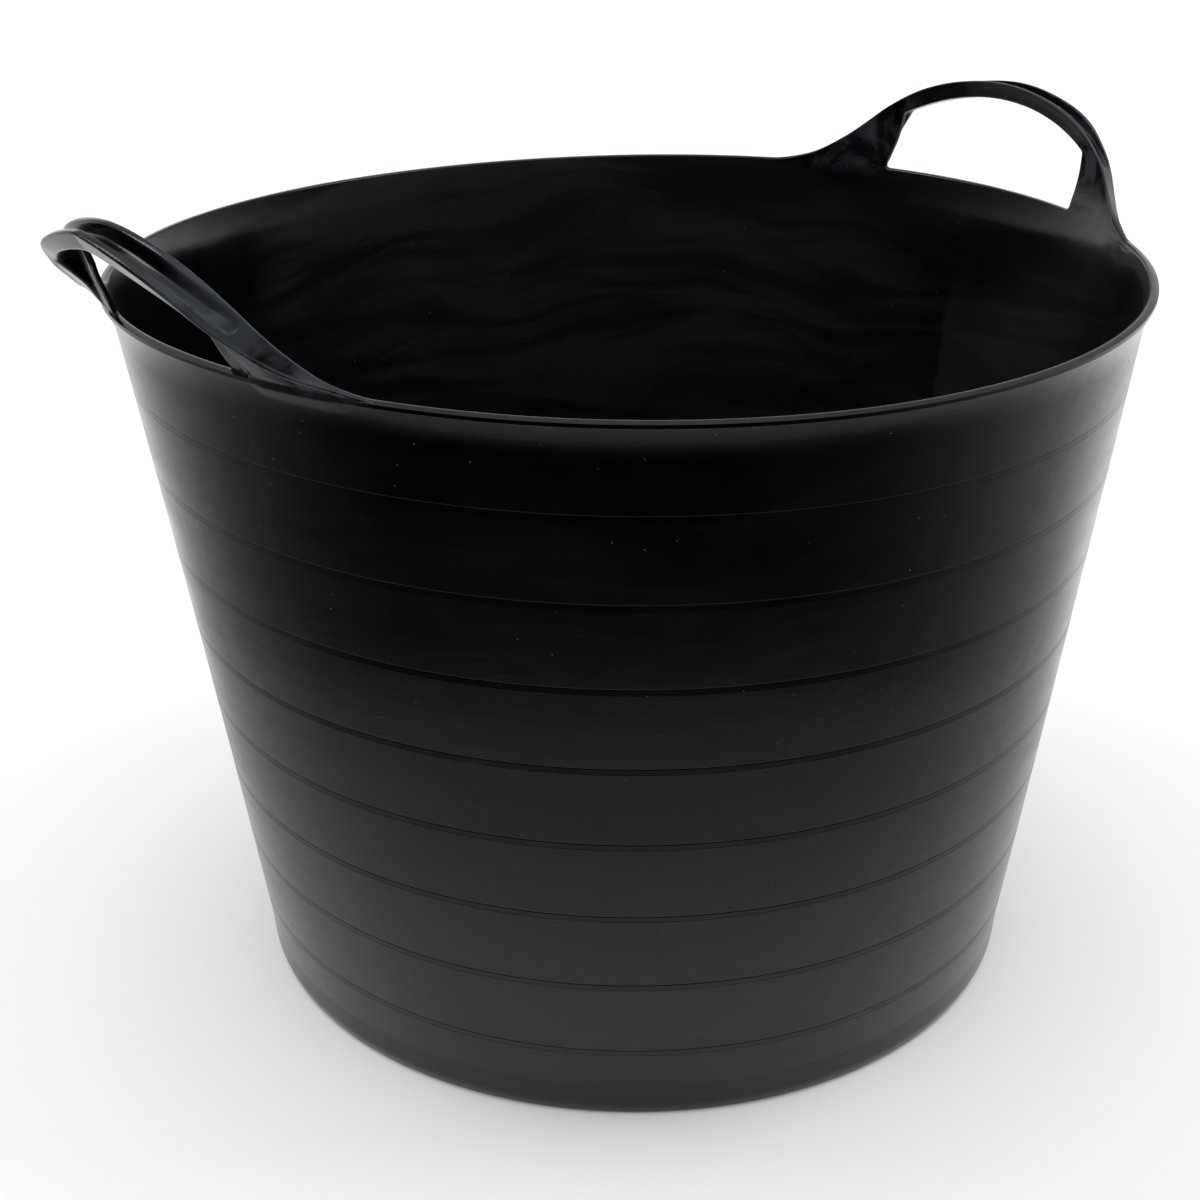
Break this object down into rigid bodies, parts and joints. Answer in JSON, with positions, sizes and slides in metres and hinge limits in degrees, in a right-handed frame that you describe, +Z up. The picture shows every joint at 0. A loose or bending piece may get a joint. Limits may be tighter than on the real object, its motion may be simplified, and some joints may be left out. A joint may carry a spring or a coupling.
{
  "type": "mortar mixing tub",
  "caption": "Flexible round tapered tub with a flared lip, stepped wall and a channelled loop handle standing up from the rim on each side.",
  "frame": {"origin": "centre of the base, on the ground plane under the standing ring", "axes": "+Z up through the mouth; +X through the middle of the right handle, so the two handles lie on the X axis; +Y completes the frame, and -Y is the front"},
  "size_m": [0.4899, 0.45, 0.3757],
  "materials": {
    "black_polyethylene": "semi-gloss moulded, with faint flow marks and scuffs"
  },
  "bodies": {
    "tub": {"tub_floor": "black_polyethylene", "base_ring": "black_polyethylene", "stepped_wall": "black_polyethylene", "rim": "black_polyethylene"},
    "left_handle": {"left_handle_grip": "black_polyethylene", "left_handle_front_root": "black_polyethylene", "left_handle_rear_root": "black_polyethylene"},
    "right_handle": {"right_handle_grip": "black_polyethylene", "right_handle_front_root": "black_polyethylene", "right_handle_rear_root": "black_polyethylene"}
  },
  "joints": [
    {"name": "left_handle_flex", "type": "hinge", "parent": "tub", "child": "left_handle", "pos_m": [-0.214, 0, 0.325], "axis": [0, 1, 0], "range_deg": [-15, 45], "stiffness_Nm_per_rad": 0.4, "deforming": ["left_handle_front_root", "left_handle_rear_root"]},
    {"name": "right_handle_flex", "type": "hinge", "parent": "tub", "child": "right_handle", "pos_m": [0.214, 0, 0.325], "axis": [0, -1, 0], "range_deg": [-15, 45], "stiffness_Nm_per_rad": 0.4, "deforming": ["right_handle_front_root", "right_handle_rear_root"]}
  ]
}
